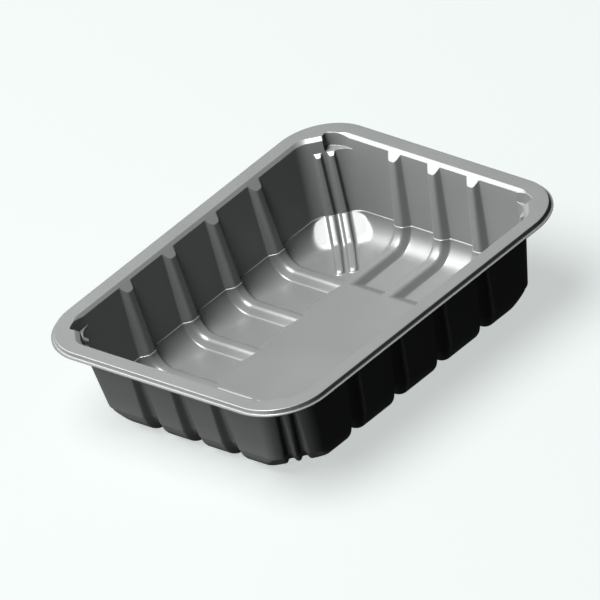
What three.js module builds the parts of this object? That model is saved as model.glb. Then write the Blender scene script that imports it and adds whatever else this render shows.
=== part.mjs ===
// A thermoformed plastic food tray: one sheet drawn down into a ribbed, round-cornered tray
// with a flat sealing flange, a stepped trimmed lip and a raised panel in the floor.
//
// Millimetres, +Z up. The long side runs along Y. The tray stands on its feet at z = 0 and the
// middle of its length and width lies on the Z axis.
//
// The sheet is described by its inside face. Columns of points run down that face from the
// inner edge of the flange to the raised panel, each point with a level, and neighbouring
// columns are stitched level by level. The underside follows at the sheet thickness.

import * as THREE from 'three';

// Overall sizes of the trimmed tray.
const TRAY_LENGTH = 227;
const TRAY_WIDTH = 178;
const SHEET_THICKNESS = 0.45;

// Rim: a trimmed lip, a short skirt up from it and the flat sealing flange.
const LIP_WIDTH = 1.5;
const SKIRT_FLARE = 0.25;
const SKIRT_HEIGHT = 2.5;
const FLANGE_WIDTH = 8;
const FLANGE_CORNER_RADIUS = 29.3;
const FLANGE_CORNER_STEPS = 9;
const FLANGE_SIDE_STEPS = 4;

// Wall: a small chamfer under the flange, then a drafted wall down to a narrow ledge.
const CHAMFER = 1.7;
const WALL_DRAFT = 0.12;
const WALL_FOOT_DEPTH = 41.7;
const LEDGE = 0.5;

// Corner of the wall in plan: arc, flat facet across the corner, arc.
const CORNER_CUT = 16.4;
const CORNER_ARC_RADIUS = 10;
const CORNER_ARC_STEPS = 3;
const CORNER_ARC_TANGENT = CORNER_ARC_RADIUS * Math.tan(Math.PI / 8);
const CORNER_BACK = CORNER_CUT + CORNER_ARC_TANGENT;

// Straight stretches beside each corner, over which the foot facet still cuts the floor radius.
const APRON_LENGTH = 5.8;
const APRON_SHARES = [0.45, 1];

// Floor: a large radius under the ledge, low floor fields and the raised panel.
const FLOOR_RADIUS = 13.5;
const FLOOR_ARC_STEPS = 4;
const PANEL_RISE = 4.2;
const PANEL_SLOPE_WIDTH = 6.8;

// Facet across the foot of each corner, from the ledge down to the floor.
const FOOT_FACET_CUT = 11;
const FOOT_FACET_FLAT = 11.4;

// Wide ribs: four on each long side, three on each short side.
const LONG_SIDE_RIB_PITCH = 33.2;
const SHORT_SIDE_RIB_PITCH = 26.9;
const LONG_SIDE_RIBS = [-1.5, -0.5, 0.5, 1.5];
const SHORT_SIDE_RIBS = [-1, 0, 1];
const RIB_CAP_DEPTH = 5.2;
const RIB_RISE_TOP = 3;
const RIB_RISE_FOOT = PANEL_RISE;
const RIB_HALF_WIDTH_TOP = 4.3;
const RIB_HALF_WIDTH_FOOT = 5.8;

// Half of a wide rib's section, from its foot to its crest, in shares of the rib's rise: how far
// in from the foot, and how high.
const RIB_SECTION = [
  { inset: 0, rise: 0 },
  { inset: 0.62, rise: 0.78 },
  { inset: 1.14, rise: 1 },
];

// Raised panel: its corners lie on the crests of the outermost wide ribs.
const RIB_CREST_INSET = RIB_SECTION.at(-1).inset * RIB_RISE_FOOT;
const RIB_CREST_HALF_WIDTH = RIB_HALF_WIDTH_FOOT - RIB_CREST_INSET;
const PANEL_HALF_WIDTH = SHORT_SIDE_RIB_PITCH + RIB_CREST_HALF_WIDTH;
const PANEL_HALF_LENGTH = 1.5 * LONG_SIDE_RIB_PITCH + RIB_CREST_HALF_WIDTH;

// Narrow ribs: a pair down each corner facet and a way over the floor.
const CORNER_RIB_PITCH = 6.9;
const CORNER_RIB_RISE = 2.1;
const CORNER_RIB_START_DEPTH = 7.9;
const CORNER_RIB_CAP_DEPTH = 9.5;
const CORNER_RIB_HALF_WIDTH_TOP = 2.55;
const CORNER_RIB_HALF_WIDTH_FOOT = 3.3;
const CORNER_RIB_CREST_LENGTH = 20.4;
const CORNER_RIB_BASE_LENGTH = 19.8;
const CORNER_RIB_TIP_LENGTH = 23;
const CORNER_RIB_CLEARANCE = 0.6;

// Half of a narrow rib's section, from its foot to its crest: how far in from the foot in shares
// of half the rib's width, and how high in shares of its rise.
const CORNER_RIB_SECTION = [
  { inset: 0, rise: 0 },
  { inset: 0.28, rise: 0.3 },
  { inset: 0.52, rise: 0.88 },
  { inset: 0.72, rise: 1 },
];

// How much of a narrow rib's rise points inward, not up, where the floor radius starts.
const CORNER_RIB_TILT = 0.9;

// Stacking pockets: one in each corner, under the flange's inner edge. The centre of the
// pocket's wall lies aside and back from that of the flange's corner. The pocket starts so far
// from the middle of the facet, behind an end wall that leans by the gap.
const POCKET_DEPTH = 7.6;
const POCKET_RADIUS = 20.7;
const POCKET_ASIDE = 2.1;
const POCKET_BACK = 1;
const POCKET_WALL_LEAN = 0.4;
const POCKET_START = 0.85;
const POCKET_END_ROUNDING = 2.4;
const POCKET_END_GAP = 0.2;

// Corners of the tray, counted from +X +Y counter-clockwise, whose pocket opens toward the
// side that comes before the corner. In the others it opens toward the side after it.
const POCKET_OPENS_BACK = [false, true, true, false];

// Levels of the points on a column, from the flange down and in.
const LEVEL_EDGE = 0;
const LEVEL_POCKET_RIM = 0.5;
const LEVEL_CHAMFER = 1;
const LEVEL_CAP = 2;
const LEVEL_CORNER_START = 2.5;
const LEVEL_CORNER_CAP = 3;
const LEVEL_WALL_FOOT = 4;
const LEVEL_LEDGE = 5;
const LEVEL_FLOOR = 6;
const LEVEL_RIB_END = 6.5;
const LEVEL_RIB_TIP = 6.7;
const LEVEL_PANEL_FOOT = 7;
const LEVEL_PANEL = 8;

// Two sizes closer than this are the same.
const NEAR = 1e-6;

const DRAFT_ANGLE = Math.atan(WALL_DRAFT);
const DIAGONAL = Math.SQRT1_2;
const FACET_LENGTH = 2 * (CORNER_CUT * DIAGONAL - CORNER_ARC_TANGENT);
const ARC_CENTRE_DEPTH = WALL_FOOT_DEPTH - FLOOR_RADIUS * Math.sin(DRAFT_ANGLE);
const FLOOR_DEPTH = ARC_CENTRE_DEPTH + FLOOR_RADIUS;
const PANEL_DEPTH = FLOOR_DEPTH - PANEL_RISE;
const TRAY_HEIGHT = FLOOR_DEPTH + SHEET_THICKNESS;

// Underside: faces closer in direction than this cosine count as one, the damping keeps a shift
// in the plane of nearly level faces at nothing, and no point moves further than the longest.
const SAME_DIRECTION = 0.999;
const SHIFT_DAMPING = 1e-3;
const LONGEST_SHIFT = 1.6 * SHEET_THICKNESS;

// Half the clear width between opposite sides at the flange's inner edge.
const CAVITY_HALF_WIDTH = TRAY_WIDTH / 2 - LIP_WIDTH - SKIRT_FLARE - FLANGE_WIDTH;
const CAVITY_HALF_LENGTH = TRAY_LENGTH / 2 - LIP_WIDTH - SKIRT_FLARE - FLANGE_WIDTH;

function lerp(from, to, share) {
  return from + (to - from) * share;
}

// The four sides in order: +X, +Y, -X, -Y. Each has its outward and forward direction in plan.
function sideFrame(side) {
  const outward = [[1, 0], [0, 1], [-1, 0], [0, -1]][side % 4];
  const forward = [-outward[1], outward[0]];
  return { outward, forward };
}

// A point of one side: so far out from the middle, so far forward along it, so deep.
function sidePoint(side, out, along, depth) {
  const { outward, forward } = sideFrame(side);
  return [
    outward[0] * out + forward[0] * along,
    outward[1] * out + forward[1] * along,
    TRAY_HEIGHT - depth,
  ];
}

function cavityHalf(side) {
  return side % 2 === 0 ? CAVITY_HALF_WIDTH : CAVITY_HALF_LENGTH;
}

function panelHalf(side) {
  return side % 2 === 0 ? PANEL_HALF_WIDTH : PANEL_HALF_LENGTH;
}

// How far the wall has come in from the flange's inner edge at a depth.
function wallInset(depth) {
  return depth <= CHAMFER ? depth : CHAMFER + (depth - CHAMFER) * WALL_DRAFT;
}

const FOOT_INSET = wallInset(WALL_FOOT_DEPTH) + LEDGE;
const FLOOR_INSET = FOOT_INSET + FLOOR_RADIUS * Math.cos(DRAFT_ANGLE);

// Inset and depth of the big radius between ledge and floor, pushed in by a rib's rise.
function floorArc(share, rise) {
  const angle = lerp(DRAFT_ANGLE, Math.PI / 2, share);
  const radius = FLOOR_RADIUS - rise;
  return {
    inset: FLOOR_INSET - radius * Math.cos(angle),
    depth: ARC_CENTRE_DEPTH + radius * Math.sin(angle),
  };
}

// Height of the big radius over the floor, so far in from the ledge.
function arcHeight(distance) {
  const toTangent = FLOOR_RADIUS * Math.cos(DRAFT_ANGLE) - distance;
  if (toTangent <= 0) {
    return 0;
  }
  const reach = Math.min(toTangent, FLOOR_RADIUS * Math.cos(DRAFT_ANGLE));
  return FLOOR_RADIUS - Math.sqrt(FLOOR_RADIUS ** 2 - reach ** 2);
}

// One column of a wide rib, at an offset from the rib's middle and raised by a share of its rise.
function ribColumn(side, middle, offsetTop, offsetFoot, share) {
  const half = cavityHalf(side);
  const riseTop = RIB_RISE_TOP * share;
  const riseFoot = RIB_RISE_FOOT * share;
  const alongTop = middle + offsetTop;
  const alongFoot = middle + offsetFoot;
  const points = [
    [LEVEL_EDGE, sidePoint(side, half, alongTop, 0)],
    [LEVEL_CHAMFER, sidePoint(side, half - CHAMFER, alongTop, CHAMFER)],
  ];
  if (share > 0) {
    const capDepth = lerp(CHAMFER, RIB_CAP_DEPTH, share);
    const cap = half - wallInset(capDepth) - riseTop;
    points.push([LEVEL_CAP, sidePoint(side, cap, alongTop, capDepth)]);
  }
  const start = floorArc(0, riseFoot);
  points.push([LEVEL_WALL_FOOT, sidePoint(side, half - start.inset + LEDGE, alongFoot, start.depth)]);
  points.push([LEVEL_LEDGE, sidePoint(side, half - start.inset, alongFoot, start.depth)]);
  for (let step = 1; step <= FLOOR_ARC_STEPS; step += 1) {
    const { inset, depth } = floorArc(step / FLOOR_ARC_STEPS, riseFoot);
    const level = lerp(LEVEL_LEDGE, LEVEL_FLOOR, step / FLOOR_ARC_STEPS);
    points.push([level, sidePoint(side, half - inset, alongFoot, depth)]);
  }
  points.push(...panelEnd(side, alongFoot, share));
  return points;
}

// The inner end of a column: up the panel's slope, or down the line from the panel's corner
// where the outermost ribs of two sides meet.
function panelEnd(side, along, share) {
  const panel = panelHalf(side);
  const depth = FLOOR_DEPTH - PANEL_RISE * share;
  const past = Math.abs(along) - panelHalf(side + 1);
  if (past > NEAR) {
    return [[LEVEL_PANEL_FOOT, sidePoint(side, panel + past, along, depth)]];
  }
  const foot = sidePoint(side, panel + PANEL_SLOPE_WIDTH * (1 - share), along, depth);
  const crest = sidePoint(side, panel, along, PANEL_DEPTH);
  return [[LEVEL_PANEL_FOOT, foot], [LEVEL_PANEL, crest]];
}

// The columns across a wide rib, from one foot of the rib to the other.
function ribColumns(side, middle) {
  const columns = [];
  for (const sign of [-1, 1]) {
    const section = sign < 0 ? RIB_SECTION : [...RIB_SECTION].reverse();
    for (const { inset, rise } of section) {
      const offsetTop = sign * (RIB_HALF_WIDTH_TOP - inset * RIB_RISE_TOP);
      const offsetFoot = sign * (RIB_HALF_WIDTH_FOOT - inset * RIB_RISE_FOOT);
      columns.push(ribColumn(side, middle, offsetTop, offsetFoot, rise));
    }
  }
  return columns;
}

// A point of a corner, measured out along the side before it and out along the side after it.
function cornerPoint(corner, out, nextOut, depth) {
  return sidePoint(corner, out, nextOut, depth);
}

// Plan of the corner's wall: share 0 to 1 over the first arc, 1 to 2 the facet, 2 to 3 the last.
// Below 0 and above 3 it follows the straight walls on either side.
function cornerPlan(corner, share, inset) {
  const out = cavityHalf(corner) - inset;
  const nextOut = cavityHalf(corner + 1) - inset;
  const radius = CORNER_ARC_RADIUS;
  if (share <= 0) {
    return [out, nextOut - CORNER_BACK + share * APRON_LENGTH];
  }
  if (share >= 3) {
    return [out - CORNER_BACK - (share - 3) * APRON_LENGTH, nextOut];
  }
  if (share <= 1) {
    const angle = (share * Math.PI) / 4;
    return [out - radius + radius * Math.cos(angle), nextOut - CORNER_BACK + radius * Math.sin(angle)];
  }
  if (share >= 2) {
    const angle = ((share - 1) * Math.PI) / 4;
    return [out - CORNER_BACK + radius * Math.cos(angle), nextOut - radius + radius * Math.sin(angle)];
  }
  const from = cornerPlan(corner, 1, inset);
  const to = cornerPlan(corner, 2, inset);
  return [lerp(from[0], to[0], share - 1), lerp(from[1], to[1], share - 1)];
}

// Height of the corner's surface over the floor: the two big radii and the facet between them.
function cornerHeight(corner, out, nextOut) {
  const ledgeOut = cavityHalf(corner) - FOOT_INSET;
  const ledgeNext = cavityHalf(corner + 1) - FOOT_INSET;
  const facetLedge = (ledgeOut + ledgeNext - CORNER_CUT) * DIAGONAL;
  const distance = Math.max(0, facetLedge - (out + nextOut) * DIAGONAL);
  const radii = Math.max(arcHeight(ledgeOut - out), arcHeight(ledgeNext - nextOut));
  return Math.max(radii, facetHeight(distance));
}

// Height of the foot facet over the floor: straight, then easing into the floor.
function facetHeight(distance) {
  const run = (2 * (FLOOR_INSET - FOOT_INSET) + FOOT_FACET_CUT - CORNER_CUT) * DIAGONAL;
  const total = FLOOR_DEPTH - WALL_FOOT_DEPTH;
  const slope = total / ((FOOT_FACET_FLAT + run) / 2);
  if (distance <= FOOT_FACET_FLAT) {
    return total - slope * distance;
  }
  const left = Math.max(0, run - distance);
  return (slope * left ** 2) / (2 * (run - FOOT_FACET_FLAT));
}

// Where a corner column meets the floor: on the facet's lower edge, at an end of that edge for
// the arcs, and straight in from the wall past it.
function cornerFloorPlan(corner, share) {
  const out = cavityHalf(corner) - FLOOR_INSET;
  const nextOut = cavityHalf(corner + 1) - FLOOR_INSET;
  const wall = cornerPlan(corner, share, FOOT_INSET);
  if (share <= 1) {
    return [out, Math.min(nextOut - FOOT_FACET_CUT, share < 0 ? wall[1] : Infinity)];
  }
  if (share >= 2) {
    return [Math.min(out - FOOT_FACET_CUT, share > 3 ? wall[0] : Infinity), nextOut];
  }
  const slide = facetOffset(share) * DIAGONAL;
  return [out - FOOT_FACET_CUT / 2 - slide, nextOut - FOOT_FACET_CUT / 2 + slide];
}

// Offset along the facet, from its middle, of a place in the corner's plan.
function facetOffset(share) {
  return (share - 1.5) * FACET_LENGTH;
}

function facetShare(offset) {
  return 1.5 + offset / FACET_LENGTH;
}

// Top of a corner column: the chamfer, or the wall and floor of the pocket where it is open.
function cornerTop(corner, share, pocket) {
  const wall = cornerPlan(corner, share, wallInset(POCKET_DEPTH));
  const edge = cornerPlan(corner, share, 0);
  const shelf = [LEVEL_CAP, cornerPoint(corner, ...wall, POCKET_DEPTH)];
  if (!pocket) {
    const under = cornerPlan(corner, share, CHAMFER);
    return [
      [LEVEL_EDGE, cornerPoint(corner, ...edge, 0)],
      [LEVEL_CHAMFER, cornerPoint(corner, ...under, CHAMFER)],
      shelf,
    ];
  }
  const rim = pocket.rimDepth > 0
    ? [
      [LEVEL_EDGE, cornerPoint(corner, ...edge, 0)],
      [LEVEL_POCKET_RIM, cornerPoint(corner, ...pocket.rim, pocket.rimDepth)],
    ]
    : [[LEVEL_EDGE, cornerPoint(corner, ...pocket.rim, 0)]];
  return [...rim, [LEVEL_CHAMFER, cornerPoint(corner, ...pocket.foot, POCKET_DEPTH)], shelf];
}

// Centre of the pocket's wall in the corner's plan.
function pocketCentre(corner) {
  const shift = [POCKET_ASIDE, -POCKET_BACK];
  const [shiftOut, shiftNext] = POCKET_OPENS_BACK[corner] ? shift.reverse() : shift;
  const reach = FLANGE_WIDTH - FLANGE_CORNER_RADIUS;
  return [cavityHalf(corner) + reach + shiftOut, cavityHalf(corner + 1) + reach + shiftNext];
}

// The pocket at a place in the corner's plan, or null where the corner has none. It starts
// beside the middle of the facet, where its end rounds off, and runs to the end of the arc.
// Toward there its wall comes inside the flange's edge and leaves a rest of the chamfer above.
function pocketAt(corner, share) {
  const offset = facetOffset(share) * (POCKET_OPENS_BACK[corner] ? -1 : 1);
  const fromStart = offset - POCKET_START;
  if (fromStart < -NEAR || share <= 0 || share >= 3) {
    return null;
  }
  const centre = new THREE.Vector2(...pocketCentre(corner));
  const top = new THREE.Vector2(...cornerPlan(corner, share, 0)).sub(centre);
  const beyond = top.lengthSq() - POCKET_RADIUS ** 2;
  let rimDepth = 0;
  if (beyond > 0) {
    const total = top.x + top.y;
    rimDepth = (total - Math.sqrt(total ** 2 - 2 * beyond)) / 2;
    top.subScalar(rimDepth);
  } else {
    const open = Math.min(1, Math.max(0, fromStart) / POCKET_END_ROUNDING);
    top.setLength(lerp(top.length(), POCKET_RADIUS, Math.sqrt(1 - (1 - open) ** 2)));
  }
  const foot = top.clone().setLength(top.length() - POCKET_WALL_LEAN);
  return { rim: top.add(centre).toArray(), rimDepth, foot: foot.add(centre).toArray() };
}

// Where the floor's columns beside the narrow ribs pass their tips, out from the middle and
// along the side, on the way to the place where the outermost wide ribs of two sides meet.
function passTips(side, along) {
  const meet = panelHalf(side + 1) + RIB_CREST_INSET;
  const slide = (CORNER_RIB_PITCH / 2 + CORNER_RIB_HALF_WIDTH_FOOT) * DIAGONAL;
  const ribOut = cavityHalf(side) - FLOOR_INSET - FOOT_FACET_CUT / 2 + slide;
  const ribAlong = cavityHalf(side + 1) - FLOOR_INSET - FOOT_FACET_CUT / 2 - slide;
  const back = ribAlong - meet - CORNER_RIB_CLEARANCE;
  const share = (along - meet) / (cavityHalf(side + 1) - FLOOR_INSET - FOOT_FACET_CUT - meet);
  return [ribOut - back, meet + CORNER_RIB_CLEARANCE * share];
}

// One column down a corner, between a place in the plan of its top and one in that of its foot.
// It is raised by a share of a narrow rib's rise.
function cornerColumn(corner, share, footShare, riseShare) {
  const points = cornerTop(corner, share, pocketAt(corner, share));
  const rise = CORNER_RIB_RISE * riseShare;
  const push = rise * DIAGONAL;
  const onFacet = share > 1 && share < 2;
  if (onFacet) {
    const start = cornerPlan(corner, share, wallInset(CORNER_RIB_START_DEPTH));
    points.push([LEVEL_CORNER_START, cornerPoint(corner, ...start, CORNER_RIB_START_DEPTH)]);
  }
  if (riseShare > 0) {
    const capDepth = lerp(CORNER_RIB_START_DEPTH, CORNER_RIB_CAP_DEPTH, riseShare);
    const cap = cornerPlan(corner, share, wallInset(capDepth)).map((value) => value - push);
    points.push([LEVEL_CORNER_CAP, cornerPoint(corner, ...cap, capDepth)]);
  }
  const wall = cornerPlan(corner, footShare, FOOT_INSET - LEDGE);
  const ledge = cornerPlan(corner, footShare, FOOT_INSET);
  points.push([LEVEL_WALL_FOOT, cornerPoint(corner, wall[0] - push, wall[1] - push, WALL_FOOT_DEPTH)]);
  points.push([LEVEL_LEDGE, cornerPoint(corner, ledge[0] - push, ledge[1] - push, WALL_FOOT_DEPTH)]);
  const floor = cornerFloorPlan(corner, footShare);
  for (let step = 1; step <= FLOOR_ARC_STEPS; step += 1) {
    const part = step / FLOOR_ARC_STEPS;
    const along = (floorArc(part, 0).inset - FOOT_INSET) / (FLOOR_INSET - FOOT_INSET);
    const out = lerp(ledge[0], floor[0], along);
    const nextOut = lerp(ledge[1], floor[1], along);
    const tilt = lerp(CORNER_RIB_TILT, 0, part);
    const depth = FLOOR_DEPTH - cornerHeight(corner, out, nextOut) - rise * Math.sqrt(1 - tilt ** 2);
    const level = lerp(LEVEL_LEDGE, LEVEL_FLOOR, part);
    points.push([level, cornerPoint(corner, out - push * tilt, nextOut - push * tilt, depth)]);
  }
  const meet = [panelHalf(corner) + RIB_CREST_INSET, panelHalf(corner + 1) + RIB_CREST_INSET];
  let tip;
  if (onFacet) {
    const length = riseShare > 0 ? CORNER_RIB_CREST_LENGTH : CORNER_RIB_BASE_LENGTH;
    const room = Math.min(floor[0] - meet[0], floor[1] - meet[1]) - CORNER_RIB_CLEARANCE;
    const end = floor.map((value) => value - length * DIAGONAL);
    points.push([LEVEL_RIB_END, cornerPoint(corner, ...end, FLOOR_DEPTH - rise)]);
    tip = floor.map((value) => value - Math.min(CORNER_RIB_TIP_LENGTH * DIAGONAL, room));
  } else if (share < 1.5) {
    tip = passTips(corner, floor[1]);
  } else {
    tip = passTips(corner + 1, floor[0]).reverse();
  }
  points.push([LEVEL_RIB_TIP, cornerPoint(corner, ...tip, FLOOR_DEPTH)]);
  points.push([LEVEL_PANEL_FOOT, cornerPoint(corner, ...meet, FLOOR_DEPTH)]);
  return points;
}

// The columns across a narrow rib in a corner, from one foot of the rib to the other.
function cornerRibColumns(corner, middle) {
  const columns = [];
  for (const sign of [-1, 1]) {
    const section = sign < 0 ? CORNER_RIB_SECTION : [...CORNER_RIB_SECTION].reverse();
    for (const { inset, rise } of section) {
      const offsetTop = middle + sign * CORNER_RIB_HALF_WIDTH_TOP * (1 - inset);
      const offsetFoot = middle + sign * CORNER_RIB_HALF_WIDTH_FOOT * (1 - inset);
      columns.push(cornerColumn(corner, facetShare(offsetTop), facetShare(offsetFoot), rise));
    }
  }
  return columns;
}

// Two columns close together beside the middle of the facet, where the pocket's end wall is.
function endWallColumns(corner) {
  const pocketSide = POCKET_OPENS_BACK[corner] ? -1 : 1;
  const narrowing = (CORNER_RIB_PITCH / 2 - CORNER_RIB_HALF_WIDTH_FOOT) / (CORNER_RIB_PITCH / 2);
  return [POCKET_START - POCKET_END_GAP, POCKET_START]
    .map((offset) => offset * pocketSide)
    .sort((a, b) => a - b)
    .map((offset) => cornerColumn(corner, facetShare(offset), facetShare(offset * narrowing), 0));
}

// All columns of a corner, with those of the straight stretches beside it.
function cornerColumns(corner) {
  const plainColumn = (share) => cornerColumn(corner, share, share, 0);
  const steps = Array.from({ length: CORNER_ARC_STEPS + 1 }, (_, step) => step / CORNER_ARC_STEPS);
  return [
    ...[...APRON_SHARES].reverse().map((share) => plainColumn(-share)),
    ...steps.map((step) => plainColumn(step)),
    ...cornerRibColumns(corner, -CORNER_RIB_PITCH / 2),
    ...endWallColumns(corner),
    ...cornerRibColumns(corner, CORNER_RIB_PITCH / 2),
    ...steps.map((step) => plainColumn(2 + step)),
    ...APRON_SHARES.map((share) => plainColumn(3 + share)),
  ];
}

// Every column once round the tray, starting on the +X side.
function allColumns() {
  const columns = [];
  for (let side = 0; side < 4; side += 1) {
    const pitch = side % 2 === 0 ? LONG_SIDE_RIB_PITCH : SHORT_SIDE_RIB_PITCH;
    const ribs = side % 2 === 0 ? LONG_SIDE_RIBS : SHORT_SIDE_RIBS;
    for (const place of ribs) {
      columns.push(...ribColumns(side, place * pitch));
    }
    columns.push(...cornerColumns(side));
  }
  return columns;
}

// Collects points, each place once, and triangles between them.
class Sheet {
  constructor() {
    this.points = [];
    this.index = new Map();
    this.triangles = [];
  }

  add(point) {
    const key = point.map((value) => Math.round(value * 1e4)).join(',');
    if (!this.index.has(key)) {
      this.index.set(key, this.points.length);
      this.points.push(point);
    }
    return this.index.get(key);
  }

  triangle(a, b, c) {
    if (a !== b && b !== c && c !== a) {
      this.triangles.push([a, b, c]);
    }
  }

  distance(a, b) {
    const from = this.points[a];
    const to = this.points[b];
    return Math.hypot(from[0] - to[0], from[1] - to[1], from[2] - to[2]);
  }

  // A four-sided patch, cut along its shorter diagonal.
  quad(a, b, c, d) {
    if (this.distance(a, c) <= this.distance(b, d)) {
      this.triangle(a, b, c);
      this.triangle(a, c, d);
    } else {
      this.triangle(a, b, d);
      this.triangle(b, c, d);
    }
  }
}

// Stitches two neighbouring columns level by level, inside face up.
function stitchColumns(sheet, column, next) {
  let i = 0;
  let j = 0;
  while (i < column.length - 1 || j < next.length - 1) {
    const level = i < column.length - 1 ? column[i + 1].level : Infinity;
    const nextLevel = j < next.length - 1 ? next[j + 1].level : Infinity;
    if (Math.abs(level - nextLevel) < NEAR) {
      sheet.quad(column[i].id, next[j].id, next[j + 1].id, column[i + 1].id);
      i += 1;
      j += 1;
    } else if (level < nextLevel) {
      sheet.triangle(column[i].id, next[j].id, column[i + 1].id);
      i += 1;
    } else {
      sheet.triangle(column[i].id, next[j].id, next[j + 1].id);
      j += 1;
    }
  }
}

// A rounded rectangle of the rim at an offset out from the flange's edge, counter-clockwise.
function rimLoop(offset, depth) {
  const loop = [];
  const radius = FLANGE_CORNER_RADIUS + offset;
  for (let side = 0; side < 4; side += 1) {
    const out = cavityHalf(side) + FLANGE_WIDTH;
    const reach = cavityHalf(side + 1) + FLANGE_WIDTH - FLANGE_CORNER_RADIUS;
    for (let step = 1; step < FLANGE_SIDE_STEPS; step += 1) {
      const along = lerp(-reach, reach, step / FLANGE_SIDE_STEPS);
      loop.push(sidePoint(side, out + offset, along, depth));
    }
    for (let step = 0; step <= FLANGE_CORNER_STEPS; step += 1) {
      const angle = (step / FLANGE_CORNER_STEPS) * (Math.PI / 2);
      const centre = out - FLANGE_CORNER_RADIUS;
      const corner = [centre + radius * Math.cos(angle), reach + radius * Math.sin(angle)];
      loop.push(sidePoint(side, ...corner, depth));
    }
  }
  return loop;
}

function turn(point) {
  return Math.atan2(point[1], point[0]);
}

// Stitches a closed outer loop to a closed inner loop by their angle about the middle.
function stitchLoops(sheet, outer, inner) {
  const start = turn(sheet.points[outer[0]]);
  const unwind = (id) => {
    const angle = turn(sheet.points[id]) - start;
    return angle < -NEAR ? angle + 2 * Math.PI : angle;
  };
  let first = 0;
  inner.forEach((id, place) => {
    if (unwind(id) < unwind(inner[first])) {
      first = place;
    }
  });
  const ring = [...inner.slice(first), ...inner.slice(0, first)];
  const angleAt = (loop, place) => {
    const lap = place >= loop.length ? 2 * Math.PI : 0;
    return unwind(loop[place % loop.length]) + lap;
  };
  let i = 0;
  let j = 0;
  while (i < outer.length || j < ring.length) {
    const outerNext = i < outer.length && angleAt(outer, i + 1) <= angleAt(ring, j + 1);
    const a = outer[i % outer.length];
    const b = ring[j % ring.length];
    if (outerNext || j >= ring.length) {
      sheet.triangle(a, outer[(i + 1) % outer.length], b);
      i += 1;
    } else {
      sheet.triangle(a, ring[(j + 1) % ring.length], b);
      j += 1;
    }
  }
}

// The inside and top face of the whole sheet, from the trimmed edge to the middle of the panel.
function insideFace() {
  const sheet = new Sheet();
  const columns = allColumns().map((column) => column.map(([level, point]) => ({
    level,
    id: sheet.add(point),
  })));
  columns.forEach((column, place) => {
    stitchColumns(sheet, column, columns[(place + 1) % columns.length]);
  });
  const rings = [
    rimLoop(SKIRT_FLARE + LIP_WIDTH, SKIRT_HEIGHT),
    rimLoop(SKIRT_FLARE, SKIRT_HEIGHT),
    rimLoop(0, 0),
  ].map((loop) => loop.map((point) => sheet.add(point)));
  for (const [outer, inner] of [[rings[0], rings[1]], [rings[1], rings[2]]]) {
    outer.forEach((id, place) => {
      const after = (place + 1) % outer.length;
      sheet.quad(id, outer[after], inner[after], inner[place]);
    });
  }
  const edge = columns.map((column) => column[0].id).filter((id, place, all) => id !== all.at(place - 1));
  stitchLoops(sheet, rings[2], edge);
  const crest = columns.map((column) => column.at(-1).id)
    .filter((id) => Math.abs(sheet.points[id][2] - (TRAY_HEIGHT - PANEL_DEPTH)) < NEAR)
    .filter((id, place, all) => id !== all.at(place - 1));
  const middle = sheet.add([0, 0, TRAY_HEIGHT - PANEL_DEPTH]);
  crest.forEach((id, place) => sheet.triangle(id, crest[(place + 1) % crest.length], middle));
  return { sheet, trimmed: rings[0] };
}

// The different directions of the faces that meet at each point.
function faceDirections(sheet) {
  const directions = sheet.points.map(() => []);
  const place = (id) => new THREE.Vector3(...sheet.points[id]);
  for (const [a, b, c] of sheet.triangles) {
    const normal = place(b).sub(place(a)).cross(place(c).sub(place(a))).normalize();
    for (const id of [a, b, c]) {
      if (!directions[id].some((other) => other.dot(normal) > SAME_DIRECTION)) {
        directions[id].push(normal);
      }
    }
  }
  return directions;
}

// The shift that puts a point one sheet thickness behind each face it belongs to, as nearly as
// one shift can.
function undersideShift(normals) {
  const matrix = new THREE.Matrix3().identity().multiplyScalar(SHIFT_DAMPING);
  const target = new THREE.Vector3();
  for (const normal of normals) {
    const values = normal.toArray();
    for (let row = 0; row < 3; row += 1) {
      for (let column = 0; column < 3; column += 1) {
        matrix.elements[column * 3 + row] += values[row] * values[column];
      }
    }
    target.addScaledVector(normal, -SHEET_THICKNESS);
  }
  return target.applyMatrix3(matrix.invert()).clampLength(0, LONGEST_SHIFT);
}

// The closed solid: inside face, underside and the trimmed edge between them.
function trayGeometry() {
  const { sheet, trimmed } = insideFace();
  const shifts = faceDirections(sheet).map(undersideShift);
  const count = sheet.points.length;
  const positions = [];
  sheet.points.forEach((point) => positions.push(...point));
  sheet.points.forEach((point, id) => {
    positions.push(point[0] + shifts[id].x, point[1] + shifts[id].y, point[2] + shifts[id].z);
  });
  const indices = [];
  for (const [a, b, c] of sheet.triangles) {
    indices.push(a, b, c, count + a, count + c, count + b);
  }
  trimmed.forEach((id, place) => {
    const after = trimmed[(place + 1) % trimmed.length];
    indices.push(id, count + id, count + after, id, count + after, after);
  });
  const geometry = new THREE.BufferGeometry();
  geometry.setAttribute('position', new THREE.Float32BufferAttribute(positions, 3));
  geometry.setIndex(indices);
  geometry.computeVertexNormals();
  return geometry;
}

// The tray: black, slightly glossy thermoformed polypropylene.
function tray() {
  const material = new THREE.MeshStandardMaterial({
    color: '#2b2c2c',
    roughness: 0.38,
    metalness: 0,
    flatShading: true,
  });
  const mesh = new THREE.Mesh(trayGeometry(), material);
  mesh.name = 'tray';
  return mesh;
}

const part = new THREE.Group();
part.name = 'food_tray';
part.add(tray());

export default part;
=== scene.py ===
import math

import bmesh
import bpy
from mathutils import Matrix, Vector


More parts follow.
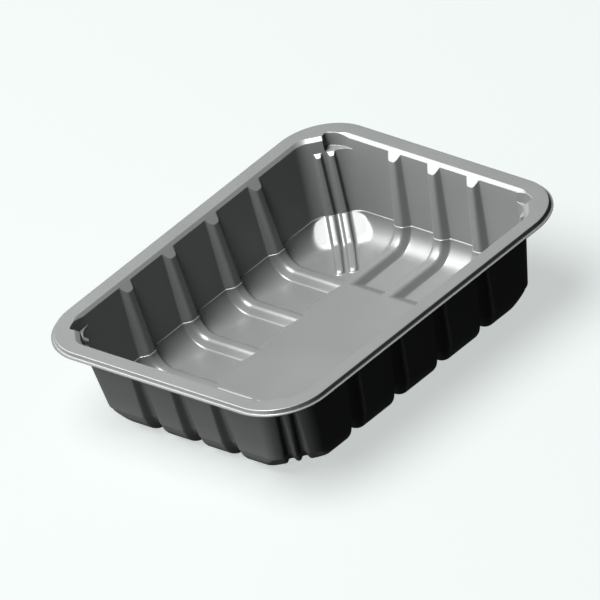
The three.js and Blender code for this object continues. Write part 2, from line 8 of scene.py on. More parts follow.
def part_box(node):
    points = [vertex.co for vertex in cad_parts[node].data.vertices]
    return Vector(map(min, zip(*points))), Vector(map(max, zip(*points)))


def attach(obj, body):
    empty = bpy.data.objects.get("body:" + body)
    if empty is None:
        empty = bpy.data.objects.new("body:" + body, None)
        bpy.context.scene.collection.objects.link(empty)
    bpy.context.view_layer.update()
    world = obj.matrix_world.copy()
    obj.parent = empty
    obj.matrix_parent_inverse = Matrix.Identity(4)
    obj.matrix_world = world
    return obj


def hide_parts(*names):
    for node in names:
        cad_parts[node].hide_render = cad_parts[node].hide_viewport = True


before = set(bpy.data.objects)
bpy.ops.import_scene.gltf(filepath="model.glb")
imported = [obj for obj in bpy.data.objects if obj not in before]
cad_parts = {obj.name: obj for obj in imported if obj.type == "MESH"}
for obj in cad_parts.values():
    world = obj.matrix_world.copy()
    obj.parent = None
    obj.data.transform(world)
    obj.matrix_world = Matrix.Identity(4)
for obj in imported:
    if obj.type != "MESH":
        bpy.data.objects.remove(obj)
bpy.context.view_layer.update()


# ---------------------------------------------------------------------------------------------
# The tray's rim and walls. One sheet of black polypropylene is heated and sucked down over a
# mould, so the same sheet makes the flat sealing flange, its turned-down skirt with the trimmed
# lip, the chamfer under the flange and the leaning walls. All sizes are in millimetres.

MM = 0.001
tray_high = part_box("tray")[1]
TOP = tray_high.z / MM

LIP_WIDTH = 1.5
SKIRT_FLARE = 0.25
SKIRT_HEIGHT = 2.5
FLANGE_WIDTH = 8
FLANGE_CORNER_RADIUS = 29.3
CHAMFER = 1.7
WALL_DRAFT = 0.12
WALL_FOOT_DEPTH = 41.7
LEDGE = 0.5
FLOOR_RADIUS = 13.5

RIM_OVERHANG = LIP_WIDTH + SKIRT_FLARE + FLANGE_WIDTH
CAVITY_HALF = (tray_high.x / MM - RIM_OVERHANG, tray_high.y / MM - RIM_OVERHANG)
DRAFT_ANGLE = math.atan(WALL_DRAFT)


def cavity_half(side):
    """Half the clear width at the flange's inner edge: sides 0 and 2 face X, 1 and 3 face Y."""
    return CAVITY_HALF[side % 2]


def place(side, out, along, depth):
    """A point so far out from the middle toward a side, so far along it and so deep."""
    out_x, out_y = ((1, 0), (0, 1), (-1, 0), (0, -1))[side % 4]
    return Vector((out_x * out - out_y * along, out_y * out + out_x * along, TOP - depth))


def wall_inset(depth):
    """How far the wall has come in from the flange's inner edge at a depth."""
    return depth if depth < CHAMFER else CHAMFER + (depth - CHAMFER) * WALL_DRAFT


def rim_place(side, out, along, overhang, depth):
    """The point of the rim straight out from an inner point, round the flange's corners too."""
    centre_out = cavity_half(side) + FLANGE_WIDTH - FLANGE_CORNER_RADIUS
    centre_along = cavity_half(side + 1) + FLANGE_WIDTH - FLANGE_CORNER_RADIUS
    radius = FLANGE_CORNER_RADIUS + overhang
    if along <= centre_along:
        return place(side, centre_out + radius, along, depth)
    if out <= centre_out:
        return place(side, out, centre_along + radius, depth)
    angle = math.atan2(along - centre_along, out - centre_out)
    return place(
        side, centre_out + radius * math.cos(angle), centre_along + radius * math.sin(angle), depth
    )


FOOT_INSET = wall_inset(WALL_FOOT_DEPTH) + LEDGE
FLOOR_REACH = FLOOR_RADIUS * math.cos(DRAFT_ANGLE)
FLOOR_INSET = FOOT_INSET + FLOOR_REACH
ARC_CENTRE_DEPTH = WALL_FOOT_DEPTH - FLOOR_RADIUS * math.sin(DRAFT_ANGLE)
FLOOR_DEPTH = ARC_CENTRE_DEPTH + FLOOR_RADIUS
FOOT_HEIGHT = FLOOR_DEPTH - WALL_FOOT_DEPTH


def rim_points(side, out, along):
    """Down the outside of the rim: the trimmed edge, the skirt's foot and the flange's edge."""
    return [
        rim_place(side, out, along, SKIRT_FLARE + LIP_WIDTH, SKIRT_HEIGHT),
        rim_place(side, out, along, SKIRT_FLARE, SKIRT_HEIGHT),
        rim_place(side, out, along, 0, 0),
    ]


# ---------------------------------------------------------------------------------------------
# The wide ribs: four on each long wall and three on each short one, pressed inward to stiffen
# the thin sheet. Each starts in a sloping half-moon under the chamfer, widens down the wall,
# follows the big radius and runs over the floor up to the raised panel.

LONG_WALL_PITCH = 33.2
SHORT_WALL_PITCH = 26.9
LONG_WALL_RIBS = [-1.5, -0.5, 0.5, 1.5]
SHORT_WALL_RIBS = [-1, 0, 1]
RIB_CAP_DEPTH = 5.2
RIB_CAP_START = CHAMFER + 0.25
RIB_RISE_TOP = 3
RIB_RISE_FOOT = 4.2
RIB_HALF_WIDTH_TOP = 4.3
RIB_HALF_WIDTH_FOOT = 5.8
RIB_FLANK_RUN = 0.74
RIB_CREST_ROUNDING = 0.4
RIB_FOOT_ROUNDING = 0.15
PANEL_SLOPE_WIDTH = 6.8
PANEL_MARGIN = 2
ARC_STEPS = 16
FLOOR_STEPS = 6
SPAN_COLUMNS = 3
FLANK_MARK = 0.4
RIB_FOOT_STEPS = 2
WIDE_CREST_STEPS = 5
HALF_A_MICRON = 0.0005

# Depths of the extra points down the wall, as many as a corner has there.
WALL_MARKS = (5.5, 7.5, 9.5)

RIB_CREST_INSET = RIB_FLANK_RUN + RIB_CREST_ROUNDING
PANEL_RISE = RIB_RISE_FOOT
CREST_HALF_WIDTH = RIB_HALF_WIDTH_FOOT - RIB_CREST_INSET * RIB_RISE_FOOT
PANEL_HALF = (SHORT_WALL_PITCH + CREST_HALF_WIDTH, 1.5 * LONG_WALL_PITCH + CREST_HALF_WIDTH)
PANEL_TO_MEET = (RIB_CREST_INSET + RIB_FOOT_ROUNDING) * RIB_RISE_FOOT


def lerp(start, end, share):
    """The value at a share of the way from start to end."""
    return start + (end - start) * share


def rounded(before, corner, after, steps):
    """Points round a corner on the curve that leaves both of its sides smoothly."""
    points = []
    for step in range(steps + 1):
        share = step / steps
        points.append(
            before * (1 - share) ** 2 + corner * 2 * share * (1 - share) + after * share**2
        )
    return points


def rib_section(flank_run, foot_rounding, crest_rounding, crest_steps):
    """Half of a rib's section, foot to crest: inset and height in shares of the rib's rise."""
    flank = Vector((flank_run, 1)).normalized()
    foot = Vector((0, 0))
    crest = Vector((flank_run, 1))
    return [
        *rounded(
            foot - Vector((foot_rounding, 0)), foot, foot + flank * foot_rounding, RIB_FOOT_STEPS
        ),
        (foot + crest) * FLANK_MARK,
        *rounded(
            crest - flank * crest_rounding, crest, crest + Vector((crest_rounding, 0)), crest_steps
        ),
    ]


def floor_arc(share, rise):
    """Inset and depth on the big radius over the floor, on a rib of a rise."""
    angle = lerp(DRAFT_ANGLE, math.pi / 2, share)
    radius = FLOOR_RADIUS - rise
    return FLOOR_INSET - radius * math.cos(angle), ARC_CENTRE_DEPTH + radius * math.sin(angle)


def wall_column(side, along_top, along_foot, share):
    """The sheet down a straight wall, raised by a share of a wide rib's rise."""
    half = cavity_half(side)
    rise = RIB_RISE_FOOT * share
    cap_depth = lerp(RIB_CAP_START, RIB_CAP_DEPTH, share)
    cap = place(side, half - wall_inset(cap_depth) - RIB_RISE_TOP * share, along_top, cap_depth)
    foot_inset, foot_depth = floor_arc(0, rise)
    foot = place(side, half - foot_inset + LEDGE, along_foot, foot_depth)
    under = place(side, half - CHAMFER, along_top, CHAMFER)
    points = rim_points(side, half, along_top)
    points += [
        place(side, half, along_top, 0),
        under,
        under.lerp(cap, 0.5),
        cap,
    ]
    for mark in WALL_MARKS[1:]:
        points.append(cap.lerp(foot, (mark - CHAMFER) / (WALL_FOOT_DEPTH - CHAMFER)))
    points.append(foot)
    points.append(place(side, half - foot_inset, along_foot, foot_depth))
    for step in range(1, ARC_STEPS + 1):
        inset, depth = floor_arc(step / ARC_STEPS, rise)
        points.append(place(side, half - inset, along_foot, depth))
    return points + floor_end(side, along_foot, share)


def floor_end(side, along, share):
    """From the big radius over the floor to the panel: up its slope, or level on a rib. Past the
    panel's corner a column ends where the outermost ribs of two walls meet."""
    panel = PANEL_HALF[side % 2]
    past = min(abs(along) - PANEL_HALF[(side + 1) % 2], PANEL_TO_MEET)
    depth = FLOOR_DEPTH - PANEL_RISE * share
    start = cavity_half(side) - FLOOR_INSET
    if abs(along) > PANEL_HALF[(side + 1) % 2] + PANEL_TO_MEET + HALF_A_MICRON:
        return around_tips(side, start, along)
    if past > 0:
        end_out = panel + past
        end_along = math.copysign(PANEL_HALF[(side + 1) % 2] + past, along)
    else:
        end_out = panel + PANEL_SLOPE_WIDTH * (1 - share)
        end_along = along
    points = []
    for step in range(1, FLOOR_STEPS + 1):
        part = step / (FLOOR_STEPS + 1)
        points.append(place(side, lerp(start, end_out, part), lerp(along, end_along, part), depth))
    points.append(place(side, end_out, end_along, depth))
    if past > 0:
        return points + [points[-1]] * 2
    margin = min(PANEL_MARGIN, -past)
    points.append(place(side, panel, along, FLOOR_DEPTH - PANEL_RISE))
    points.append(place(side, panel - margin, along, FLOOR_DEPTH - PANEL_RISE))
    return points


WIDE_RIB = rib_section(RIB_FLANK_RUN, RIB_FOOT_ROUNDING, RIB_CREST_ROUNDING, WIDE_CREST_STEPS)


def rib_columns(side, middle):
    """The columns across one wide rib, from foot to foot, its crest in the middle."""
    columns = []
    for sign in (-1, 1):
        half_section = WIDE_RIB if sign < 0 else reversed(WIDE_RIB)
        for inset, height in half_section:
            top = middle + sign * (RIB_HALF_WIDTH_TOP - inset * RIB_RISE_TOP)
            foot = middle + sign * (RIB_HALF_WIDTH_FOOT - inset * RIB_RISE_FOOT)
            columns.append(wall_column(side, top, foot, height))
        if sign < 0:
            columns.append(wall_column(side, middle, middle, 1))
    return columns


def span_columns(side, start_top, end_top, start_foot, end_foot):
    """Columns over the flat wall between two ribs, or between a rib and a corner."""
    columns = []
    for step in range(1, SPAN_COLUMNS + 1):
        share = step / (SPAN_COLUMNS + 1)
        top = lerp(start_top, end_top, share)
        foot = lerp(start_foot, end_foot, share)
        columns.append(wall_column(side, top, foot, 0))
    return columns


# ---------------------------------------------------------------------------------------------
# The corners: a flat facet between two arcs, with a pair of narrow ribs pressed into it. At its
# foot a sloping flat cuts the two big radii in an oval. Under the flange each corner has a
# shallow pocket, turned in every second tray, that keeps stacked trays from jamming.

CORNER_CUT = 16.4
CORNER_ARC_RADIUS = 10
CORNER_ARC_STEPS = 10
CORNER_ARC_TANGENT = CORNER_ARC_RADIUS * math.tan(math.pi / 8)
CORNER_BACK = CORNER_CUT + CORNER_ARC_TANGENT
APRON_LENGTH = 10
APRON_STEPS = 8
FOOT_FLAT_CUT = 11
FOOT_FLAT_LENGTH = 11.4
FOOT_FLAT_BLEND = 1.1
NARROW_PITCH = 6.9
NARROW_RISE = 2.1
NARROW_START_DEPTH = 7.9
NARROW_CAP_DEPTH = 9.5
NARROW_LEAST_CAP = 0.1
NARROW_FLANK_RUN = 0.45
NARROW_FOOT_ROUNDING = 0.42
NARROW_CREST_ROUNDING = 0.5
NARROW_CREST_STEPS = 4
NARROW_TOP_WIDTH = 0.74
NARROW_NOSE_START = 18.5
NARROW_NOSE_FOOT = 19.2
NARROW_NOSE_END = 22.8
NARROW_TIP_LENGTH = 23.2
NARROW_TIP_CLEAR = 0.6
POCKET_DEPTH = 7.6
POCKET_RADIUS = 20.7
POCKET_LEAN = 0.4
POCKET_ASIDE = 2.1
POCKET_BACK = 1
POCKET_START = 0.82
POCKET_END_ROUNDING = 2.4
END_WALL_GAP = 0.2
POCKET_END_SHARE = 0.025

# Offsets from the facet's middle of the columns between the pair of narrow ribs: two on the
# plain facet, then the head and the foot of the pocket's end wall.
FACET_COLUMNS = (-0.4, 0.1, POCKET_START - END_WALL_GAP, POCKET_START)

DIAGONAL = math.sqrt(0.5)
FACET_LENGTH = 2 * (CORNER_CUT * DIAGONAL - CORNER_ARC_TANGENT)
FOOT_RUN = (2 * FLOOR_REACH + FOOT_FLAT_CUT - CORNER_CUT) * DIAGONAL
FOOT_SLOPE = FOOT_HEIGHT / ((FOOT_FLAT_LENGTH + FOOT_RUN) / 2)


def corner_plan(corner, share, inset):
    """Plan of a corner's wall: 0 to 1 an arc, 1 to 2 the facet, 2 to 3 an arc, straight past."""
    out = cavity_half(corner) - inset
    after = cavity_half(corner + 1) - inset
    if share <= 0:
        return out, after - CORNER_BACK + share * APRON_LENGTH
    if share >= 3:
        return out - CORNER_BACK - (share - 3) * APRON_LENGTH, after
    if share <= 1 or share >= 2:
        angle = (share if share <= 1 else share - 1) * math.pi / 4
        centre_out = out - (CORNER_ARC_RADIUS if share <= 1 else CORNER_BACK)
        centre_after = after - (CORNER_BACK if share <= 1 else CORNER_ARC_RADIUS)
        return (
            centre_out + CORNER_ARC_RADIUS * math.cos(angle),
            centre_after + CORNER_ARC_RADIUS * math.sin(angle),
        )
    start = corner_plan(corner, 1, inset)
    end = corner_plan(corner, 2, inset)
    return lerp(start[0], end[0], share - 1), lerp(start[1], end[1], share - 1)


def facet_share(offset):
    """The place on the facet at an offset from its middle."""
    return 1.5 + offset / FACET_LENGTH


def smooth_max(one, other, blend):
    """The larger of two heights, with the valley between them filled over a blend."""
    near = max(blend - abs(one - other), 0) / blend
    return max(one, other) + near * near * blend / 4


def arc_height(distance):
    """Height of the big radius over the floor, so far in from the ledge."""
    reach = min(max(FLOOR_REACH - distance, 0), FLOOR_REACH)
    return FLOOR_RADIUS - math.sqrt(FLOOR_RADIUS**2 - reach**2)


def foot_flat(distance):
    """Height and slope of the sloping flat: straight down, then easing into the floor."""
    if distance <= FOOT_FLAT_LENGTH:
        return FOOT_HEIGHT - FOOT_SLOPE * distance, FOOT_SLOPE
    left = max(FOOT_RUN - distance, 0)
    slope = FOOT_SLOPE * left / (FOOT_RUN - FOOT_FLAT_LENGTH)
    return slope * left / 2, slope


def corner_height(corner, out, after, rise):
    """Height over the floor at a corner's foot, on a narrow rib of a rise."""
    in_out = cavity_half(corner) - FOOT_INSET - out
    in_after = cavity_half(corner + 1) - FOOT_INSET - after
    distance = max((in_out + in_after - CORNER_CUT) * DIAGONAL, 0)
    height, slope = foot_flat(distance)
    radii = max(arc_height(in_out), arc_height(in_after))
    return smooth_max(radii, height, FOOT_FLAT_BLEND) + rise * math.hypot(1, slope)


def floor_plan(corner, share):
    """Where a corner column meets the floor."""
    out = cavity_half(corner) - FLOOR_INSET
    after = cavity_half(corner + 1) - FLOOR_INSET
    wall_end = FOOT_INSET + APRON_LENGTH + CORNER_BACK - FLOOR_INSET
    if share <= 1:
        return out, after - lerp(wall_end, FOOT_FLAT_CUT, (share + 1) / 2)
    if share >= 2:
        return out - lerp(FOOT_FLAT_CUT, wall_end, (share - 2) / 2), after
    slide = (share - 1.5) * FACET_LENGTH * DIAGONAL
    return out - FOOT_FLAT_CUT / 2 - slide, after - FOOT_FLAT_CUT / 2 + slide


def pass_tips(side, along):
    """Where a column on the floor beside the narrow ribs passes their tips, out and along, on its
    way to the place where the outermost wide ribs of two walls meet."""
    meet = PANEL_HALF[(side + 1) % 2] + PANEL_TO_MEET
    slide = NARROW_PITCH * DIAGONAL
    rib_out = cavity_half(side) - FLOOR_INSET - FOOT_FLAT_CUT / 2 + slide
    rib_along = cavity_half(side + 1) - FLOOR_INSET - FOOT_FLAT_CUT / 2 - slide
    back = rib_along - meet - NARROW_TIP_CLEAR
    share = (along - meet) / (cavity_half(side + 1) - FLOOR_INSET - FOOT_FLAT_CUT - meet)
    return rib_out - back, meet + NARROW_TIP_CLEAR * share


def around_tips(side, start, along):
    """A column on the floor between a wide rib and a corner, round the narrow ribs' tips."""
    pass_out, pass_along = pass_tips(side, abs(along))
    meet_out = PANEL_HALF[side % 2] + PANEL_TO_MEET
    meet_along = PANEL_HALF[(side + 1) % 2] + PANEL_TO_MEET
    points = []
    for step in range(1, FLOOR_STEPS + 1):
        part = step / FLOOR_STEPS
        beside = math.copysign(lerp(abs(along), pass_along, part), along)
        points.append(place(side, lerp(start, pass_out, part), beside, FLOOR_DEPTH))
    return points + [place(side, meet_out, math.copysign(meet_along, along), FLOOR_DEPTH)] * 3


def pocket_points(corner, share):
    """The top of a corner column: the flange's inner edge, then chamfer or pocket, then wall."""
    edge = Vector(corner_plan(corner, share, 0))
    wall = (*corner_plan(corner, share, wall_inset(POCKET_DEPTH)), POCKET_DEPTH)
    from_start = (share - 1.5) * FACET_LENGTH - POCKET_START
    if from_start < -HALF_A_MICRON or share >= 3:
        middle = corner_plan(corner, share, wall_inset(WALL_MARKS[0]))
        return [
            (*edge, 0),
            (*corner_plan(corner, share, CHAMFER), CHAMFER),
            (*middle, WALL_MARKS[0]),
            wall,
        ]
    reach = FLANGE_WIDTH - FLANGE_CORNER_RADIUS
    centre = Vector((cavity_half(corner) + reach, cavity_half(corner + 1) + reach))
    centre += Vector((POCKET_ASIDE, -POCKET_BACK))
    spoke = edge - centre
    beyond = spoke.length_squared - POCKET_RADIUS**2
    if beyond > 0:
        total = spoke.x + spoke.y
        cut = (total - math.sqrt(total**2 - 2 * beyond)) / 2
        top = spoke - Vector((cut, cut))
        foot = top * (1 - POCKET_LEAN / top.length)
        upper = (*(centre + top), cut)
    else:
        shut = 1 - min(max(from_start, 0) / POCKET_END_ROUNDING, 1)
        radius = lerp(spoke.length, POCKET_RADIUS, math.sqrt(1 - shut**2))
        top = spoke * (radius / spoke.length)
        foot = top * (1 - POCKET_LEAN / radius)
        edge = centre + top
        upper = (*(centre + top.lerp(foot, CHAMFER / POCKET_DEPTH)), CHAMFER)
    return [(*edge, 0), upper, (*(centre + foot), POCKET_DEPTH), wall]


def corner_column(corner, share_top, share_foot, height=0, nose=NARROW_NOSE_FOOT):
    """The sheet down a corner, raised by a share of a narrow rib's rise."""
    rise = NARROW_RISE * height
    push = rise * DIAGONAL
    cap_depth = lerp(NARROW_START_DEPTH, NARROW_CAP_DEPTH, max(height, NARROW_LEAST_CAP))
    start = corner_plan(corner, share_top, wall_inset(NARROW_START_DEPTH))
    cap = corner_plan(corner, share_top, wall_inset(cap_depth))
    wall = corner_plan(corner, share_foot, FOOT_INSET - LEDGE)
    ledge = corner_plan(corner, share_foot, FOOT_INSET)
    foot_depth = WALL_FOOT_DEPTH - rise * (math.hypot(1, FOOT_SLOPE) - FOOT_SLOPE)
    spots = pocket_points(corner, share_top) + [
        (*start, NARROW_START_DEPTH),
        (cap[0] - push, cap[1] - push, cap_depth),
        (wall[0] - push, wall[1] - push, foot_depth),
        (ledge[0] - push, ledge[1] - push, foot_depth),
    ]
    floor = floor_plan(corner, share_foot)
    for step in range(1, ARC_STEPS + 1):
        angle = lerp(DRAFT_ANGLE, math.pi / 2, step / ARC_STEPS)
        along = 1 - math.cos(angle) * FLOOR_RADIUS / FLOOR_REACH
        out = lerp(ledge[0] - push, floor[0], along)
        after = lerp(ledge[1] - push, floor[1], along)
        spots.append((out, after, FLOOR_DEPTH - corner_height(corner, out, after, rise)))
    meet = [PANEL_HALF[(corner + turn) % 2] + PANEL_TO_MEET for turn in (0, 1)]
    room = min(floor[0] - meet[0], floor[1] - meet[1]) - NARROW_TIP_CLEAR
    if share_foot <= 1:
        tip = pass_tips(corner, floor[1])
    else:
        tip = reversed(pass_tips(corner + 1, floor[0]))
    tip_out, tip_after = tip
    for step in range(1, FLOOR_STEPS + 1):
        if share_foot <= 1 or share_foot >= 2:
            part = step / FLOOR_STEPS
            out = lerp(floor[0], tip_out, part)
            after = lerp(floor[1], tip_after, part)
            spots.append((out, after, FLOOR_DEPTH))
            continue
        turned = min((step - 1) / (FLOOR_STEPS - 2), 1) * math.pi / 2
        length = lerp(NARROW_NOSE_START, nose, math.sin(turned))
        if step == FLOOR_STEPS:
            length = NARROW_TIP_LENGTH
        back = min(length * DIAGONAL, room)
        level = FLOOR_DEPTH - rise * math.cos(turned)
        spots.append((floor[0] - back, floor[1] - back, level))
    spots += [(*meet, FLOOR_DEPTH)] * 3
    return rim_points(corner, *spots[0][:2]) + [place(corner, *spot) for spot in spots]


NARROW_RIB = rib_section(
    NARROW_FLANK_RUN, NARROW_FOOT_ROUNDING, NARROW_CREST_ROUNDING, NARROW_CREST_STEPS
)


def narrow_rib_columns(corner, middle):
    """The columns across one narrow rib, from foot to foot."""
    columns = []
    for sign in (-1, 1):
        half_section = NARROW_RIB if sign < 0 else reversed(NARROW_RIB)
        for inset, height in half_section:
            foot = NARROW_PITCH / 2 - (inset + NARROW_FOOT_ROUNDING) * NARROW_RISE
            across = min(foot / (NARROW_PITCH / 2), 1)
            nose = lerp(NARROW_NOSE_FOOT, NARROW_NOSE_END, math.sqrt(1 - across**2))
            share_top = facet_share(middle + sign * foot * NARROW_TOP_WIDTH)
            share_foot = facet_share(middle + sign * foot)
            columns.append(corner_column(corner, share_top, share_foot, height, nose))
    return columns


def corner_columns(corner):
    """All columns of a corner, with those of the straight stretches beside it."""
    steps = [step / CORNER_ARC_STEPS for step in range(CORNER_ARC_STEPS + 1)]
    aprons = [(step + 1) / APRON_STEPS for step in range(APRON_STEPS)]
    columns = [corner_column(corner, -share, -share) for share in reversed(aprons)]
    columns += [corner_column(corner, share, share) for share in steps]
    columns += narrow_rib_columns(corner, -NARROW_PITCH / 2)
    for offset in FACET_COLUMNS:
        columns.append(corner_column(corner, facet_share(offset), facet_share(0)))
    columns += narrow_rib_columns(corner, NARROW_PITCH / 2)
    columns += [corner_column(corner, 2 + share, 2 + share) for share in steps[:-1]]
    columns.append(corner_column(corner, 3 - POCKET_END_SHARE, 3 - POCKET_END_SHARE))
    columns += [corner_column(corner, 3 + share, 3 + share) for share in [0, *aprons]]
    return columns


# ---------------------------------------------------------------------------------------------
# The formed sheet. Half of it starts as a flat grid, as the film does, and is drawn down point
# by point to the mould; the other half is its mirror image, and the raised panel closes it.

SHEET_THICKNESS = 0.45
LIP_BEND = 0.4
FLANGE_BEND = 0.45
CHAMFER_BEND = 0.3
WALL_BEND = 0.25
CAP_START_BEND = 0.1
LEDGE_BEND = 0.22
FLOOR_BEND = 0.5
PANEL_BEND = 0.8
BEND_STEPS = 2
LONGEST_BEND = 0.45
UNBENT = 0

# The tangent length of the sheet's bend at each level of a column, from the trimmed edge inward.
LEVEL_BENDS = [
    *(UNBENT, LIP_BEND, FLANGE_BEND),
    *(CHAMFER_BEND, CHAMFER_BEND, WALL_BEND, WALL_BEND),
    *(CAP_START_BEND, WALL_BEND),
    *(LEDGE_BEND, LEDGE_BEND),
    *[UNBENT] * (ARC_STEPS + FLOOR_STEPS),
    *(FLOOR_BEND, PANEL_BEND, UNBENT),
]


def bend_round(column):
    """A column's points with each bend rounded, always the same number of them."""
    bent = []
    for level, (point, tangent) in enumerate(zip(column, LEVEL_BENDS, strict=True)):
        if tangent == UNBENT:
            bent.append(point)
            continue
        before = column[level - 1] - point
        after = column[level + 1] - point
        reach = min(tangent, LONGEST_BEND * before.length, LONGEST_BEND * after.length)
        start = point + before.normalized() * reach
        bent += rounded(start, point, point + after.normalized() * reach, BEND_STEPS)
    return bent


def wall_columns(side, middles):
    """All columns of a straight wall: its wide ribs and the flat spans between them."""
    end_top = cavity_half(side + 1) - CORNER_BACK - APRON_LENGTH
    end_foot = end_top - FOOT_INSET
    beside_top = RIB_HALF_WIDTH_TOP + RIB_FOOT_ROUNDING * RIB_RISE_TOP
    beside_foot = RIB_HALF_WIDTH_FOOT + RIB_FOOT_ROUNDING * RIB_RISE_FOOT
    columns = []
    top, foot = -end_top, -end_foot
    for middle in middles:
        columns += span_columns(side, top, middle - beside_top, foot, middle - beside_foot)
        columns += rib_columns(side, middle)
        top, foot = middle + beside_top, middle + beside_foot
    return columns + span_columns(side, top, end_top, foot, end_foot)


EAST, NORTH, SOUTH = 0, 1, 3
sheet_columns = [
    *wall_columns(SOUTH, [pitch * SHORT_WALL_PITCH for pitch in SHORT_WALL_RIBS]),
    *corner_columns(SOUTH),
    *wall_columns(EAST, [pitch * LONG_WALL_PITCH for pitch in LONG_WALL_RIBS]),
    *corner_columns(EAST),
    *wall_columns(NORTH, [pitch * SHORT_WALL_PITCH for pitch in SHORT_WALL_RIBS]),
]
half_columns = [
    bend_round(column) for column in sheet_columns if column[0].x > -HALF_A_MICRON
]

sheet = bmesh.new()
bmesh.ops.create_grid(
    sheet, x_segments=len(half_columns) - 1, y_segments=len(half_columns[0]) - 1, size=1
)
flat_film = sorted(sheet.verts, key=lambda vert: (round(vert.co.x, 5), round(vert.co.y, 5)))
drawn = [point for column in half_columns for point in column]
for vert, point in zip(flat_film, drawn, strict=True):
    vert.co = point * MM

MERGE_DISTANCE = 0.0005 * MM
bmesh.ops.remove_doubles(sheet, verts=sheet.verts, dist=MERGE_DISTANCE)
whole = [*sheet.verts, *sheet.edges, *sheet.faces]
bmesh.ops.mirror(sheet, geom=whole, axis="X", merge_dist=MERGE_DISTANCE)
bmesh.ops.remove_doubles(sheet, verts=sheet.verts, dist=MERGE_DISTANCE)
bmesh.ops.dissolve_degenerate(sheet, dist=MERGE_DISTANCE, edges=sheet.edges)
panel_height = (TOP - FLOOR_DEPTH + PANEL_RISE) * MM
on_panel = {vert for vert in sheet.verts if abs(vert.co.z - panel_height) < MERGE_DISTANCE}
panel_rim = [edge for edge in sheet.edges if edge.is_boundary and on_panel.issuperset(edge.verts)]
bmesh.ops.edgeloop_fill(sheet, edges=panel_rim)
bmesh.ops.recalc_face_normals(sheet, faces=sheet.faces)
panel_face = max(sheet.faces, key=lambda face: face.calc_area())
if panel_face.normal.z < 0:
    bmesh.ops.reverse_faces(sheet, faces=sheet.faces)
for face in sheet.faces:
    face.smooth = True
for edge in sheet.edges:
    edge.smooth = not edge.is_boundary
tray_mesh = bpy.data.meshes.new("tray_sheet")
sheet.to_mesh(tray_mesh)
sheet.free()
tray = bpy.data.objects.new("tray_sheet", tray_mesh)
bpy.context.scene.collection.objects.link(tray)

thickness = tray.modifiers.new("Sheet thickness", "SOLIDIFY")
thickness.thickness = SHEET_THICKNESS * MM
thickness.offset = -1
thickness.use_even_offset = False
thickness.use_quality_normals = True
smooth_faces = tray.modifiers.new("Flat faces stay flat", "WEIGHTED_NORMAL")
smooth_faces.keep_sharp = True

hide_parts("tray")
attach(tray, "root")


# ---------------------------------------------------------------------------------------------
# The tray's plastic: black polypropylene film, extruded between rolls and then stretched hot over
# the mould. The rolls leave it semi-glossy with a fine orange peel and a finer grain, and the
# stretching makes its gloss drift a little over a few centimetres.


def linear(hex_colour):
    """An sRGB hex colour as linear red, green, blue and alpha."""
    channels = [int(hex_colour[start : start + 2], 16) / 255 for start in (1, 3, 5)]
    return [*(c / 12.92 if c <= 0.04045 else ((c + 0.055) / 1.055) ** 2.4 for c in channels), 1]


def add_node(tree, kind, settings=None, links=None):
    """Adds a node, sets its sockets or properties by name, and links sockets to it."""
    node = tree.nodes.new(kind)
    for name, value in (settings or {}).items():
        if name in node.inputs:
            node.inputs[name].default_value = value
        else:
            setattr(node, name, value)
    for name, source in (links or {}).items():
        tree.links.new(source, node.inputs[name])
    return node


# Sizes of the patterns in millimetres, the limits of the roughness, and the values between
# which a noise mostly stays.
PEEL_SIZE = 1.4
PEEL_HEIGHT = 0.008
GRAIN_SIZE = 0.12
GRAIN_HEIGHT = 0.0012
STRETCH_SIZE = 38
ROUGHEST = 0.44
SMOOTHEST = 0.37
NOISE_LOW = 0.3
NOISE_HIGH = 0.7

# Dark and semi-gloss, so it shows lamps as soft bright bands along its bends.
plastic = bpy.data.materials.new("black_polypropylene_film")
plastic.use_nodes = True
tree = plastic.node_tree
surface = tree.nodes["Principled BSDF"]
surface.inputs["Base Color"].default_value = linear("#343535")
surface.inputs["IOR"].default_value = 1.49
spot = add_node(tree, "ShaderNodeTexCoord").outputs["Object"]
stretch = add_node(
    tree,
    "ShaderNodeTexNoise",
    {"Scale": 1 / (STRETCH_SIZE * MM), "Detail": 3.0},
    {"Vector": spot},
)
gloss = add_node(
    tree,
    "ShaderNodeMapRange",
    {"From Min": NOISE_LOW, "From Max": NOISE_HIGH, "To Min": SMOOTHEST, "To Max": ROUGHEST},
    {"Value": stretch.outputs["Fac"]},
)
peel = add_node(
    tree,
    "ShaderNodeTexNoise",
    {"Scale": 1 / (PEEL_SIZE * MM), "Detail": 1.0},
    {"Vector": spot},
)
grain = add_node(
    tree,
    "ShaderNodeTexNoise",
    {"Scale": 1 / (GRAIN_SIZE * MM), "Detail": 2.0},
    {"Vector": spot},
)
peel_relief = add_node(
    tree,
    "ShaderNodeBump",
    {"Strength": 1.0, "Distance": PEEL_HEIGHT * MM},
    {"Height": peel.outputs["Fac"]},
)
relief = add_node(
    tree,
    "ShaderNodeBump",
    {"Strength": 1.0, "Distance": GRAIN_HEIGHT * MM},
    {"Height": grain.outputs["Fac"], "Normal": peel_relief.outputs["Normal"]},
)
tree.links.new(gloss.outputs["Result"], surface.inputs["Roughness"])
tree.links.new(relief.outputs["Normal"], surface.inputs["Normal"])
tray.data.materials.append(plastic)


# ---------------------------------------------------------------------------------------------
# The studio: a plain pale floor that glows a little, so the shadow on it stays faint, a camera
# at the photograph's viewing angle, and soft lamps for the tray and for the floor.

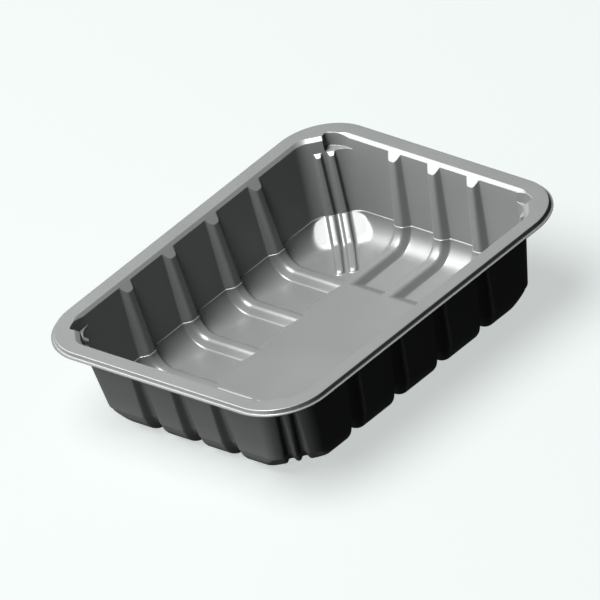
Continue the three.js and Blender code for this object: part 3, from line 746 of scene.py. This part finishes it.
floor_material = bpy.data.materials.new("pale_studio_floor")
floor_material.use_nodes = True
floor_surface = floor_material.node_tree.nodes["Principled BSDF"]
floor_surface.inputs["Base Color"].default_value = linear("#f2f8f6")
floor_surface.inputs["Roughness"].default_value = 0.9
floor_surface.inputs["Emission Color"].default_value = linear("#f2f8f6")
floor_surface.inputs["Emission Strength"].default_value = 0.6
FLOOR_HALF = 3.0
FLOOR_GAP = 0.3
ground = bmesh.new()
bmesh.ops.create_grid(ground, x_segments=1, y_segments=1, size=FLOOR_HALF)
ground_mesh = bpy.data.meshes.new("studio_floor")
ground.to_mesh(ground_mesh)
ground.free()
ground_mesh.materials.append(floor_material)
studio_floor = bpy.data.objects.new("studio_floor", ground_mesh)
studio_floor.location.z = -FLOOR_GAP * MM
bpy.context.scene.collection.objects.link(studio_floor)
studio_floor.visible_diffuse = False
studio_floor.visible_glossy = False

# The photograph's view is a parallel one: these are its axes and the width it takes in.
VIEW_RIGHT = Vector((0.73496, 0.64987, -0.19363))
VIEW_UP = Vector((-0.23680, 0.51354, 0.82475))
VIEW_BACK = VIEW_RIGHT.cross(VIEW_UP)
VIEW_WIDTH = 0.30245
VIEW_ASIDE = -0.00061
VIEW_BELOW = -0.01686
VIEW_DISTANCE = 1.2
rim_middle = Vector((0, 0, TOP * MM))
look_at = rim_middle + VIEW_RIGHT * VIEW_ASIDE + VIEW_UP * VIEW_BELOW
camera_data = bpy.data.cameras.new("camera")
camera_data.type = "ORTHO"
camera_data.ortho_scale = VIEW_WIDTH
camera = bpy.data.objects.new("camera", camera_data)
camera.location = look_at + VIEW_BACK * VIEW_DISTANCE
camera.rotation_euler = Matrix((VIEW_RIGHT, VIEW_UP, VIEW_BACK)).transposed().to_euler()
bpy.context.scene.collection.objects.link(camera)
bpy.context.scene.camera = camera


def lit_alone(piece):
    """A group for light linking that holds one piece."""
    group = bpy.data.collections.new("lit_" + piece.name)
    group.objects.link(piece)
    return group


def softbox(name, direction, distance, size, power, lit):
    """An oval lamp, so wide and high, that faces the middle of the rim and lights one piece."""
    data = bpy.data.lights.new(name, "AREA")
    data.shape = "ELLIPSE"
    data.size, data.size_y = size
    data.energy = power
    lamp = bpy.data.objects.new(name, data)
    lamp.location = rim_middle + direction.normalized() * distance
    lamp.rotation_euler = direction.to_track_quat("Z", "Y").to_euler()
    lamp.light_linking.receiver_collection = lit
    bpy.context.scene.collection.objects.link(lamp)


tray_alone = lit_alone(tray)
floor_alone = lit_alone(studio_floor)
softbox(
    "key",
    direction=Vector((-0.097, -0.341, 0.935)),
    distance=2.5,
    size=(0.9, 0.9),
    power=500,
    lit=tray_alone,
)
softbox(
    "left",
    direction=Vector((-0.635, -0.46, 0.62)),
    distance=2.0,
    size=(2.5, 2.5),
    power=235,
    lit=tray_alone,
)
softbox(
    "front",
    direction=Vector((-0.1, -1, 0)),
    distance=1.5,
    size=(1.0, 0.15),
    power=26,
    lit=tray_alone,
)
softbox(
    "overhead",
    direction=Vector((-0.2, -0.3, 0.93)),
    distance=2.5,
    size=(2.6, 2.6),
    power=34,
    lit=floor_alone,
)

WORLD_GLOW = 0.04
world = bpy.data.worlds.new("studio")
world.use_nodes = True
world.node_tree.nodes["Background"].inputs["Color"].default_value = linear("#f2f8f6")
world.node_tree.nodes["Background"].inputs["Strength"].default_value = WORLD_GLOW
bpy.context.scene.world = world
bpy.context.scene.view_settings.view_transform = "Standard"
